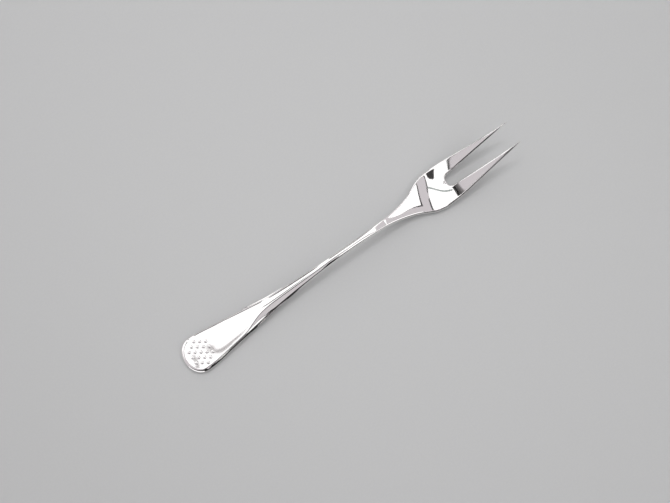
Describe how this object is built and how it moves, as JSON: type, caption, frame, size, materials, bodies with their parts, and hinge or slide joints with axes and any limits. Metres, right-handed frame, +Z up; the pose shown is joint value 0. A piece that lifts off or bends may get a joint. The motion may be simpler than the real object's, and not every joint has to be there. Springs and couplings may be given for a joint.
{
  "type": "meat fork",
  "caption": "One-piece serving fork for cold meat: long two-pronged head, shallow dished bowl, slim arched stem and a flared handle with a round end and raised beads.",
  "frame": {"origin": "centre of the fork's outline, on the table that it lies on", "axes": "+X from the handle's end towards the tips, +Y across to the left seen from the handle, +Z up"},
  "size_m": [0.17, 0.0182, 0.0111],
  "materials": {
    "silver": "mirror polished"
  },
  "bodies": {
    "root": {"fork": "silver"}
  },
  "joints": []
}
